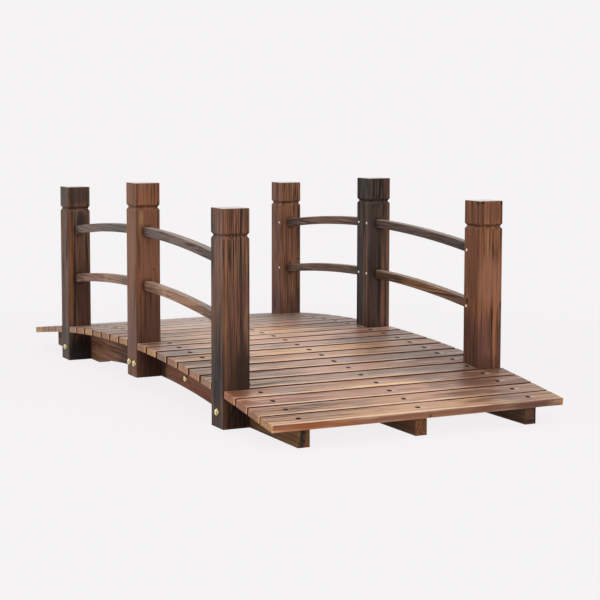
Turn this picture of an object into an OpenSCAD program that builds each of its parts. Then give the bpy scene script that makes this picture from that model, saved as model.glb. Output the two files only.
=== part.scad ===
// Low arched garden footbridge of square posts, curved rails, arched beams and a planked deck.
// X runs along the span, Y across it and Z up, with the origin on the ground under the crown.
// "near" is the +X end and "left" is the -Y side.

/* [Deck] */
// Length of the deck over its two end planks
span = 1524; // [1300:1:1700]
// Width over the posts and over the full planks
deck_width = 673.1; // [560:0.1:800]
// Radius of the arc that the tops of the beams follow
deck_radius = 4600; // [4000:10:6000]
// Length at each end of the deck over which the tops of the beams run on straight
straight_length = 142; // [100:1:200]
// Height of the beam tops above the ground at the crown
crown_height = 97.5; // [92:0.1:120]
// Width of one plank along the span
plank_width = 54.5; // [50:0.5:55.5]
// Thickness of one plank
plank_thick = 14.7; // [10:0.1:18]
// Radius of the eased long edges of a plank
plank_ease = 1; // [0.5:0.1:2.5]
// Least gap between two neighbouring planks
least_plank_gap = 3; // [1:0.5:5]
// Clearance between a post and the full plank beside it
post_clear = 3.5; // [1:0.5:6]
// Clearance between the end of a short plank and the post it meets
short_plank_clear = 0.5; // [0.2:0.1:2]

/* [Posts] */
// Side of the square posts
post_side = 60; // [52:0.5:64]
// Length of every post
post_length = 451.9; // [420:0.1:480]
// Distance from the end of the deck back to the middle of an end post
end_post_inset = 264; // [240:0.1:300]
// Height of the foot of a middle post above the ground
mid_post_lift = 30.7; // [20:0.1:40]
// Radius of the eased edges round the top of a post
post_ease = 4; // [1:0.5:5]
// Radius of the eased upright edges of a post
post_edge_ease = 1; // [0.5:0.1:3]
// Distance from the top of a post down to the middle of its groove
groove_drop = 56.2; // [40:0.1:65]
// Height of the V groove at the face of the post
groove_height = 13; // [6:0.1:16]
// Depth of the V groove
groove_depth = 4.2; // [2:0.1:7]

/* [Rails] */
// Height of a rail
rail_height = 20.5; // [16:0.5:26]
// Thickness of a rail across the span
rail_thick = 19; // [12:0.5:24]
// Radius of the arc along the middle of both rails
rail_radius = 3680; // [3400:10:5000]
// Height of the middle of the upper rails above the ground at the crown
upper_rail_z = 370.5; // [350:0.5:385]
// Height of the middle of the lower rails above the ground at the crown
lower_rail_z = 245; // [225:1:265]
// Depth of the mortises that hold the rail ends
mortise_depth = 20; // [12:0.5:24]
// Gap between the end of a rail and the bottom of its mortise
mortise_gap = 1; // [0.5:0.1:2]
// Radius of the eased edges of a rail
rail_ease = 2; // [0.5:0.1:4]

/* [Beams] */
// Thickness of a beam across the span
beam_thick = 26; // [18:0.5:32]
// Distance from the end of the deck back to the end of a beam
beam_inset = 13; // [8:0.5:25]
// Rise of the arch under the beams at the crown
arch_rise = 31.8; // [25:0.1:36]
// Radius of the middle stretch of the arch
arch_crown_radius = 3220; // [2900:10:3400]
// Distance from the crown to where the arch turns down more tightly
arch_turn_x = 322; // [300:1:340]
// Radius of the tighter stretch at each end of the arch
arch_haunch_radius = 480; // [400:5:600]
// Length of the boards that join the two halves of each beam
splice_length = 450; // [400:1:520]
// Thickness of the joining boards
splice_thick = 24; // [16:0.5:30]
// Distance from the edges of a joining board to the beam's top and to its arch
splice_inset = 6; // [3:0.5:12]

/* [Hidden] */
round_fn = 32;
arc_fn = 1440;
cut_past = 10;

post_inner_y = deck_width / 2 - post_side;
post_centre_y = deck_width / 2 - post_side / 2;
end_post_x = span / 2 - end_post_inset;
beam_end_x = span / 2 - beam_inset;
side_beam_y = post_inner_y - beam_thick / 2;
tall = post_length + mid_post_lift;

// Distance along the beams' top arc from the crown, for an angle or a place along the span, and the
// angle for a distance
function arc_from_angle(angle) = deck_radius * angle * PI / 180;
function angle_from_arc(arc) = arc / deck_radius * 180 / PI;
function arc_from_x(x) = arc_from_angle(asin(x / deck_radius));

// Where the arc stops and the tops of the beams run on straight, along its tangent
straight_x = span / 2 - straight_length;
straight_angle = asin(straight_x / deck_radius);
straight_arc = arc_from_angle(straight_angle);

// The end planks lie on the straight part and reach the full span with the eased edges of their upper
// outer corners
end_reach = plank_ease
    + (straight_length - plank_ease - (plank_thick - plank_ease) * sin(straight_angle)) / cos(straight_angle);

// Stretches of the arc that full planks fill: from the end of the deck to an end post, and from there
// to a middle post
end_stretch = [straight_arc + end_reach, arc_from_x(end_post_x + post_side / 2 + post_clear)];
bay_stretch = [
    arc_from_x(end_post_x - post_side / 2 - post_clear),
    arc_from_x(post_side / 2 + post_clear)
];

// Full planks that a stretch takes, and the even step from one to the next that fills it
function length_of(stretch) = stretch[0] - stretch[1];
function planks_in(stretch) =
    floor((length_of(stretch) + least_plank_gap) / (plank_width + least_plank_gap));
function plank_step(stretch) =
    (length_of(stretch) - plank_width) / max(1, planks_in(stretch) - 1);
planks_per_end = planks_in(end_stretch);

// Distance along the arc to the middle of each plank on the near half, from the near end inwards
function plank_middles(stretch) = [
    for (i = [0:planks_in(stretch) - 1]) stretch[0] - plank_width / 2 - i * plank_step(stretch)
];
half_arcs = concat(plank_middles(end_stretch), [arc_from_x(end_post_x)], plank_middles(bay_stretch));
half_count = len(half_arcs);
plank_count = 2 * half_count + 1;
function plank_arc(n) =
    n < half_count ? half_arcs[n] : n == half_count ? 0 : -half_arcs[plank_count - 1 - n];
function plank_is_short(n) =
    n == half_count || n == planks_per_end || n == plank_count - 1 - planks_per_end;
function plank_name(n) = str("plank_", n < 9 ? "0" : "", n + 1);

SIDES = [["left", -1], ["right", 1]];
ENDS = [["near", 1], ["far", -1]];
LEVELS = [["upper", upper_rail_z], ["lower", lower_rail_z]];
POSTS = [["near", end_post_x, 0], ["mid", 0, mid_post_lift], ["far", -end_post_x, 0]];
BEAMS = [["left", -side_beam_y], ["center", 0], ["right", side_beam_y]];

// Rectangle with eased corners, centred, for sections and plans
module eased_rectangle(size, ease) {
    square([size[0] - 2 * ease, size[1]], center = true);
    square([size[0], size[1] - 2 * ease], center = true);
    for (sx = [-1, 1], sy = [-1, 1])
        translate([sx * (size[0] / 2 - ease), sy * (size[1] / 2 - ease)])
            circle(r = ease, $fn = round_fn);
}

// Solid of an outline in the X-Z plane, thick across the span and centred on y
module across(y, thick) {
    translate([0, y, 0])
        rotate([90, 0, 0])
            linear_extrude(thick, center = true)
                children();
}

// Disc in the X-Z plane whose highest point stands at top_z over the crown
module crown_disc(top_z, radius) {
    translate([0, top_z - radius])
        circle(r = radius, $fn = arc_fn);
}

// The three-centred opening of the arch, raised evenly by lift
module arch_outline(lift = 0) {
    crown_centre = arch_rise - arch_crown_radius;
    turn = asin(arch_turn_x / arch_crown_radius);
    haunch_offset = arch_crown_radius - arch_haunch_radius;
    intersection() {
        crown_disc(arch_rise + lift, arch_crown_radius + lift);
        translate([-arch_turn_x, -cut_past])
            square([2 * arch_turn_x, tall]);
    }
    for (end = ENDS)
        intersection() {
            translate([end[1] * haunch_offset * sin(turn), crown_centre + haunch_offset * cos(turn)])
                circle(r = arch_haunch_radius + lift, $fn = arc_fn);
            translate([end[1] > 0 ? arch_turn_x : -span / 2, -cut_past])
                square([span / 2 - arch_turn_x, tall]);
        }
}

// Strip of the X-Z plane over one half of the bridge, from the crown to the end of the beams
module half_strip(end) {
    translate([end > 0 ? 0 : -beam_end_x, 0])
        square([beam_end_x, tall]);
}

// What lies over the tops of the beams: above the arc, and above the tangents it runs on along
module over_tops() {
    difference() {
        translate([-straight_x, 0])
            square([2 * straight_x, tall]);
        crown_disc(crown_height, deck_radius);
    }
    for (end = [-1, 1])
        translate([0, crown_height - deck_radius])
            rotate(-end * straight_angle)
                translate([-span / 2, deck_radius])
                    square([span, tall]);
}

// One half of a beam: arched on top, flat where it stands and cut to the arch between
module beam_half(y, end) {
    color("#4b3427")
        across(y, beam_thick)
            difference() {
                half_strip(end);
                over_tops();
                arch_outline();
            }
}

// Board that laps the joint in the middle of a beam, on the beam's inner face
module splice_board(beam_y, inner_side) {
    across(beam_y + inner_side * (beam_thick + splice_thick) / 2, splice_thick)
        difference() {
            intersection() {
                crown_disc(crown_height - splice_inset, deck_radius - splice_inset);
                translate([-splice_length / 2, 0])
                    square([splice_length, tall]);
            }
            arch_outline(splice_inset);
        }
}

module splice_boards() {
    color("#55392a") {
        splice_board(-side_beam_y, 1);
        splice_board(0, 1);
        splice_board(side_beam_y, -1);
    }
}

// Curved rail from x1 to x2, bent along one arc
module rail_arc(y, mid_z, x1, x2) {
    low_angle = acos(x2 / rail_radius);
    turn = acos(x1 / rail_radius) - low_angle;
    translate([0, y, mid_z - rail_radius])
        rotate([90, 0, 0])
            rotate([0, 0, low_angle])
                rotate_extrude(angle = turn, $fn = arc_fn)
                    translate([rail_radius, 0])
                        eased_rectangle([rail_height, rail_thick], rail_ease);
}

// Where the rails of a bay start and stop inside the mortises
rail_from = post_side / 2 - mortise_depth + mortise_gap;
rail_to = end_post_x - post_side / 2 + mortise_depth - mortise_gap;

module rail(end, side, mid_z) {
    color(mid_z == upper_rail_z ? "#5d5149" : "#6a4536")
        rail_arc(side * post_centre_y, mid_z,
            end > 0 ? rail_from : -rail_to, end > 0 ? rail_to : -rail_from);
}

// The rails' sockets in both faces of one post
module mortises(x, side) {
    for (level = LEVELS, face = [-1, 1])
        if (abs(x + face * post_side) < end_post_x) {
            outer = x + face * (post_side / 2 + cut_past);
            inner = x + face * (post_side / 2 - mortise_depth);
            rail_arc(side * post_centre_y, level[1], min(outer, inner), max(outer, inner));
        }
}

// Square blank of a post with its upright edges and its top eased
module post_blank() {
    intersection() {
        linear_extrude(post_length)
            eased_rectangle([post_side, post_side], post_edge_ease);
        for (turn = [0, 90])
            rotate([0, 0, turn])
                translate([0, 0, post_length / 2])
                    rotate([90, 0, 0])
                        linear_extrude(post_side + cut_past, center = true)
                            top_eased_side();
    }
}

// Side view of a post: square at the foot, eased at the top
module top_eased_side() {
    translate([0, -post_ease / 2])
        square([post_side, post_length - post_ease], center = true);
    square([post_side - 2 * post_ease, post_length], center = true);
    for (sx = [-1, 1])
        translate([sx * (post_side / 2 - post_ease), post_length / 2 - post_ease])
            circle(r = post_ease, $fn = round_fn);
}

// V groove cut round all four faces of a post, its flanks run on past the faces
module v_groove() {
    mouth = groove_height / 2 * (1 + cut_past / groove_depth);
    for (turn = [0:90:270])
        rotate([0, 0, turn])
            translate([post_side / 2, 0, post_length - groove_drop])
                rotate([90, 0, 0])
                    linear_extrude(post_side + cut_past, center = true)
                        polygon([[-groove_depth, 0], [cut_past, -mouth], [cut_past, mouth]]);
}

module post(x, lift, side) {
    color("#5b3b2b")
        difference() {
            translate([x, side * post_centre_y, lift])
                difference() {
                    post_blank();
                    v_groove();
                }
            mortises(x, side);
        }
}

// Plank laid flat on the tops of the beams, full width or cut to fit between two posts
module plank(n) {
    long = plank_is_short(n) ? 2 * (post_inner_y - short_plank_clear) : deck_width;
    arc = abs(plank_arc(n));
    end = sign(plank_arc(n));
    color("#9c7d68")
        translate([0, 0, crown_height - deck_radius])
            rotate([0, end * angle_from_arc(min(arc, straight_arc)), 0])
                translate([end * max(0, arc - straight_arc), 0, deck_radius + plank_thick / 2])
                    rotate([90, 0, 0])
                        linear_extrude(long, center = true)
                            eased_rectangle([plank_width, plank_thick], plank_ease);
}

for (post = POSTS, side = SIDES)
    post(post[1], post[2], side[1]);

for (level = LEVELS, end = ENDS, side = SIDES)
    rail(end[1], side[1], level[1]);

for (beam = BEAMS, end = ENDS)
    beam_half(beam[1], end[1]);

splice_boards();

for (n = [0:plank_count - 1])
    plank(n);
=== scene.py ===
"""Looks for a low arched garden footbridge: burnt fir, brass and blackened fixings, a studio and a camera.

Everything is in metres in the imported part's own frame. X runs along the span with the near end at +X, Y runs
across with the left side at -Y, and Z stands up from the ground under the crown of the deck. Boards, their
marks and the fixings are measured in millimetres, and colours in tables are screen colours from 0 to 255.
"""

import logging
import math
import random
from dataclasses import dataclass, field
from enum import Enum, IntEnum
from functools import partial, reduce
from typing import Callable, Iterator, Sequence

import bmesh
import bpy
from mathutils import Euler, Matrix, Vector


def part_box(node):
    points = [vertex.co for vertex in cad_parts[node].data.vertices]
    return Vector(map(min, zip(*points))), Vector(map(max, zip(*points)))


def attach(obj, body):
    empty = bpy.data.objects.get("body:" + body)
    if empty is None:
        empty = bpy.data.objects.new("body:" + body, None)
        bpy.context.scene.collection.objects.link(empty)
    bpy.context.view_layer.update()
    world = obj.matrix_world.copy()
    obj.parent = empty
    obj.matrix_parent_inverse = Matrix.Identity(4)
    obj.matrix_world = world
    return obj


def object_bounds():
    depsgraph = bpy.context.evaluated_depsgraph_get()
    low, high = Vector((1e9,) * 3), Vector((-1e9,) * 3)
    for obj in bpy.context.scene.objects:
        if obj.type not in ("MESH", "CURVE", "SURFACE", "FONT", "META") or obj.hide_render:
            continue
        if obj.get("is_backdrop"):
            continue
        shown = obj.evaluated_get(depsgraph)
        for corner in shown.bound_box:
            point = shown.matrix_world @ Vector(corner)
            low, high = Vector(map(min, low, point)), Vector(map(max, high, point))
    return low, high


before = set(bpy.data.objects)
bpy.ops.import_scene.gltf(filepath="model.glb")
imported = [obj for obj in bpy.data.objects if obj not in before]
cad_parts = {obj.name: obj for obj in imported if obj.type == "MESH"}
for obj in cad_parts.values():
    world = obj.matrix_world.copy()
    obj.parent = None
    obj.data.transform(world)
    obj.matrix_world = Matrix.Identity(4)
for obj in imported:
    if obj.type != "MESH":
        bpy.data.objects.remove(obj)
CAD_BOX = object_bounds()

log = logging.getLogger("footbridge")

MM = 0.001
Triple = tuple[float, float, float]
Colour = Triple
Screen = tuple[int, int, int]
Pair = tuple[float, float]
Row = tuple[float | Screen, ...]
Socket = bpy.types.NodeSocket
Material = bpy.types.Material
# Near-black for soot and for painted shade: under the deck on the posts' feet and in the deck screws' countersinks.
SOOT_AND_SHADE = (26, 21, 19)


def tint(*screen: int) -> Colour:
    """Linear colour of a screen colour's red, green and blue."""
    shares = (level / 255 for level in screen)
    return tuple(share / 12.92 if share <= 0.04045 else ((share + 0.055) / 1.055) ** 2.4 for share in shares)


def tints(*screens: Screen) -> tuple[Colour, ...]:
    """Linear colours of several screen colours."""
    return tuple(tint(*screen) for screen in screens)


def toned(colour: Colour, level: float, warmth: float = 0.0) -> Colour:
    """A colour with its brightness times level, and red raised and blue lowered by warmth, below white."""
    return tuple(min(1.0, part * level * (1 + sway)) for part, sway in zip(colour, (warmth, 0.0, -warmth)))


def operator(operation: str, swapped: bool = False) -> Callable[..., "Value"]:
    """Makes an operator of Value from a Math node.

    Args:
        operation: The node's operation.
        swapped: Whether the other number comes first, as in a reflected operator.

    Returns:
        The operator.
    """
    def apply(value: "Value", *others: "Number") -> "Value":
        """Result of the operation as a new Value."""
        return value.maker.math(operation, *((*others, value) if swapped else (value, *others)))
    return apply


@dataclass(frozen=True)
class Value:
    """A number inside a material's tree, which takes part in Python sums."""

    maker: "TreeMaker"
    socket: Socket

    __add__, __radd__ = operator("ADD"), operator("ADD", swapped=True)
    __sub__, __rsub__ = operator("SUBTRACT"), operator("SUBTRACT", swapped=True)
    __mul__, __rmul__ = operator("MULTIPLY"), operator("MULTIPLY", swapped=True)
    __truediv__, __rtruediv__ = operator("DIVIDE"), operator("DIVIDE", swapped=True)
    __pow__, __abs__, root = operator("POWER"), operator("ABSOLUTE"), operator("SQRT")
    fraction, whole, most = operator("FRACT"), operator("FLOOR"), operator("MAXIMUM")

    def rise(self, start: float, end: float) -> "Value":
        """Smooth step from 0 at start and below it to 1 at end and above it."""
        node = self.maker.node("ShaderNodeMapRange", {"interpolation_type": "SMOOTHSTEP"},
                               {"Value": self, "From Min": start, "From Max": end})
        return Value(self.maker, node.outputs[0])


Number = Value | float


@dataclass(frozen=True)
class Spot:
    """A shading point in a board's own millimetres: across, through and along the grain."""

    vector: Socket
    across: Value
    through: Value
    along: Value


@dataclass(frozen=True)
class Lie:
    """How a board lies in the bridge: its middle, and the turn that brings its grain to the third axis."""

    middle: Vector
    turn: Matrix

    def mapping(self) -> dict[str, Sequence[float]]:
        """Inputs of a Mapping node that takes metres in the part's frame to millimetres in the board's."""
        return {"Location": -(self.turn @ self.middle) / MM, "Rotation": self.turn.to_euler("XYZ"),
                "Scale": (1 / MM,) * 3}


class TreeMaker:
    """Adds nodes to any node tree."""

    def __init__(self, tree: bpy.types.NodeTree) -> None:
        """Keeps the tree, emptied."""
        self.tree = tree
        self.tree.nodes.clear()

    def node(self, kind: str, settings: dict[str, object] | None = None,
             inputs: dict[str | int, object] | None = None) -> bpy.types.Node:
        """Adds any node, with its settings made before its sockets are filled.

        Args:
            kind: The node's type.
            settings: Its settings by name.
            inputs: Values, sockets or Values for its input sockets, by name or place.

        Returns:
            The new node.
        """
        made = self.tree.nodes.new(kind)
        for name, value in (settings or {}).items():
            setattr(made, name, value)
        for key, value in (inputs or {}).items():
            self.feed(made.inputs[key], value)
        return made

    def feed(self, socket: Socket, value: object) -> None:
        """Links a socket or Value to an input, or sets a plain value on it.

        Args:
            socket: The input.
            value: What it gets.
        """
        if isinstance(value, Value):
            value = value.socket
        if isinstance(value, Socket):
            self.tree.links.new(value, socket)
        else:
            socket.default_value = (*value, 1.0) if socket.type == "RGBA" else value

    def math(self, operation: str, *terms: Number) -> Value:
        """One Math node over Values and plain numbers."""
        made = self.node("ShaderNodeMath", {"operation": operation}, dict(enumerate(terms)))
        return Value(self, made.outputs[0])

    def seen(self) -> Value:
        """Tells the rays that see a surface from those that it only lights.

        Returns:
            1 for the camera, a gloss or a glass, and 0 for the others.
        """
        path = self.node("ShaderNodeLightPath").outputs
        rays = [Value(self, path[f"Is {kind} Ray"]) for kind in ("Camera", "Glossy", "Transmission")]
        return rays[0].most(rays[1]).most(rays[2])


class MaterialMaker(TreeMaker):
    """Builds one material's tree."""

    def __init__(self, name: str) -> None:
        """Starts an empty material.

        Args:
            name: The material's name.
        """
        self.material = bpy.data.materials.new(name)
        self.material.use_nodes = True
        super().__init__(self.material.node_tree)

    def place(self, output: str = "Object") -> Socket:
        """The shading point's place in the part's frame, or its normal."""
        return self.node("ShaderNodeTexCoord").outputs[output]

    def spot(self, lie: Lie) -> Spot:
        """The shading point in a board's own millimetres.

        Args:
            lie: How the board lies.

        Returns:
            The point and its three distances.
        """
        inputs = {"Vector": self.place(), **lie.mapping()}
        vector = self.node("ShaderNodeMapping", {"vector_type": "POINT"}, inputs).outputs[0]
        split = self.node("ShaderNodeSeparateXYZ", inputs={0: vector})
        return Spot(vector, *(Value(self, output) for output in split.outputs))

    def vectors(self, operation: str, *terms: object) -> bpy.types.NodeOutputs:
        """Outputs of one Vector Math node."""
        return self.node("ShaderNodeVectorMath", {"operation": operation}, dict(enumerate(terms))).outputs

    def facing(self, axis: Sequence[float]) -> Value:
        """How squarely the surface faces an axis, from -1 to 1."""
        return Value(self, self.vectors("DOT_PRODUCT", self.place("Normal"), axis)["Value"])

    def distance(self, vector: Socket, middle: Sequence[float], reach: Sequence[float]) -> Value:
        """Distance of a place from a middle, in shares of the reach along each axis."""
        scaled = self.vectors("DIVIDE", self.vectors("SUBTRACT", vector, middle)[0], reach)[0]
        return Value(self, self.vectors("LENGTH", scaled)["Value"])

    def noise(self, vector: Socket, lengths: Sequence[float], seed: float, detail: float = 2.0) -> Value:
        """Noise from 0 to 1, mostly 0.25 to 0.75, whose features have those lengths along the three axes."""
        inputs = {"Vector": self.vectors("DIVIDE", vector, lengths)[0], "W": seed, "Scale": 1.0, "Detail": detail}
        return Value(self, self.node("ShaderNodeTexNoise", {"noise_dimensions": "4D"}, inputs).outputs[0])

    def drift(self, number: Value, seed: float) -> Value:
        """Noise along one number."""
        inputs = {"W": number + seed, "Scale": 1.0, "Detail": 1.0}
        return Value(self, self.node("ShaderNodeTexNoise", {"noise_dimensions": "1D"}, inputs).outputs[0])

    def chance(self, number: Value, seed: float) -> Value:
        """A fixed random number from 0 to 1 for each whole number."""
        made = self.node("ShaderNodeTexWhiteNoise", {"noise_dimensions": "1D"}, {"W": number + seed})
        return Value(self, made.outputs[0])

    def mix(self, share: Number, first: object, second: object, blend: str = "MIX") -> Socket:
        """Colour between two colours or colour sockets, with the second's share from 0 to 1."""
        settings = {"data_type": "RGBA", "blend_type": blend}
        return self.node("ShaderNodeMix", settings, {0: share, 6: first, 7: second}).outputs[2]

    def grey(self, level: Value) -> Socket:
        """A grey of that level as a colour."""
        return self.node("ShaderNodeCombineColor", inputs={0: level, 1: level, 2: level}).outputs[0]

    def surface(self, colour: object, inputs: dict[str, object], relief: Value, depth: float) -> Material:
        """Ends the material with one shader.

        Args:
            colour: Base colour or colour socket.
            inputs: The shader's other inputs.
            relief: Height of the surface from 0 to 1.
            depth: Depth of that relief in metres.

        Returns:
            The finished material.
        """
        shader = self.node("ShaderNodeBsdfPrincipled", inputs={"Base Color": colour, **inputs})
        bump = self.node("ShaderNodeBump", inputs={"Strength": 1.0, "Distance": depth, "Height": relief})
        self.feed(shader.inputs["Normal"], bump.outputs[0])
        self.node("ShaderNodeOutputMaterial", inputs={"Surface": shader.outputs[0]})
        return self.material


@dataclass(frozen=True)
class Mark:
    """A soft stain, burn, streak, scuff, painted shade or painted highlight on a board, egg-shaped, in the board's
    millimetres.
    """

    middle: Triple
    reach: Triple
    colour: Colour
    strength: float = 0.7


def stain_and_light(across: float, along: float, wide: float, long: float, screen: Screen, strength: float = 0.7,
          through: float = 0, deep: float = 20) -> Mark:
    """A mark from a row: middle and reach on the face, screen colour, strength, middle and reach in depth."""
    return Mark((across, through, along), (wide, deep, long), tint(*screen), strength)


def stains_and_light(rows: Sequence[Row]) -> tuple[Mark, ...]:
    """The marks of several rows."""
    return tuple(stain_and_light(*row) for row in rows)


class Heart(Enum):
    """The axis along which a knot's heart runs, as the name of the distance that is measured beside it."""

    THROUGH = "across"
    ACROSS = "through"


@dataclass(frozen=True)
class Knot:
    """A knot: where its heart comes out on the board's face, along the grain, its radius and its darkness."""

    offset: float
    along: float
    radius: float
    heart: Heart = Heart.THROUGH
    depth: float = 0.9


@dataclass(frozen=True)
class Timber:
    """Burnt and brushed fir: the colours of its rings and how strongly it is burnt."""

    early: Colour
    warm: Colour
    late: Colour
    char: Colour
    edge: Colour
    ring_width: float = 4.2
    ring_contrast: float = 0.35
    spread: float = 1.0
    fine: float = 1.0
    burn: float = 0.0
    # Share of the edge colour on the long edges: wear on most boards, painted gap shade on the planks.
    edge_wear: float = 0.35
    edge_reach: float = 3.0
    tinge: float = 1.0
    rough: float = 0.45
    ior: float = 1.3

    @classmethod
    def of_tone(cls, tone: Colour, **others: object) -> "Timber":
        """A timber whose colours all follow from the tone that most of it has."""
        shades = {"early": toned(tone, 1.75, 0.02), "warm": toned(tone, 1.1, 0.1), "late": toned(tone, 0.5, 0.06),
                  "char": toned(tone, 0.16, -0.04), "edge": toned(tone, 1.5, 0.12)}
        return cls(**{**shades, **others})


@dataclass(frozen=True)
class Board:
    """One board as it was cut from its log: its lie, its section and what marks it."""

    name: str
    lie: Lie
    half: Triple
    pith: Pair
    seed: float
    taper: float = 0.006
    marks: tuple[Mark, ...] = ()
    knots: tuple[Knot, ...] = ()
    screws: tuple[Pair, ...] = ()
    # Stretch across the plank of the dark ring round each deck screw.
    stain_width: float = 1.0
    grooves: tuple[float, ...] = ()
    end: Colour | None = None
    sealed: bool = False
    # Painted shade of the gaps, on the sides and edges of a plank between others.
    flank: Colour | None = None
    # Painted sheen on the faces that look up.
    crest: Colour | None = None


class Layer(IntEnum):
    """The layers of noise on a board, each with a pattern of its own."""

    (SWAY, WAVE, RIPPLE, EDGE, MARKS, STREAKS, BANDS, FIBRE, LINES, HAIRS, BLOTS, RED, SAWN, HUE,
     FAR_EDGE) = range(1, 16)


# Width and length of a layer's features, the layer and its weight: what bends the rings, and the grain's streaks.
WANDER = ((60, 420, Layer.SWAY, 16), (18, 150, Layer.WAVE, 4), (5, 45, Layer.RIPPLE, 0.9))
GRAIN = ((24, 260, Layer.BANDS, 1.1), (7.5, 210, Layer.STREAKS, 1.4), (3.0, 150, Layer.LINES, 2.2),
         (1.4, 75, Layer.HAIRS, 2.2))
FINE_GRAIN = 4  # streaks narrower than this also take the timber's fine
BOARD_STEP, LAYER_STEP = 7.3, 3.1  # between the patterns of two boards, and of two layers
GREENISH, REDDISH = (0.87, 1.03, 0.88), (1.12, 0.97, 0.95)
KNOT_LENGTH = 1.35  # along the grain, as a share of its width
WOOD_RELIEF, PLATING_RELIEF = 0.25 * MM, 0.05 * MM


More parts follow.
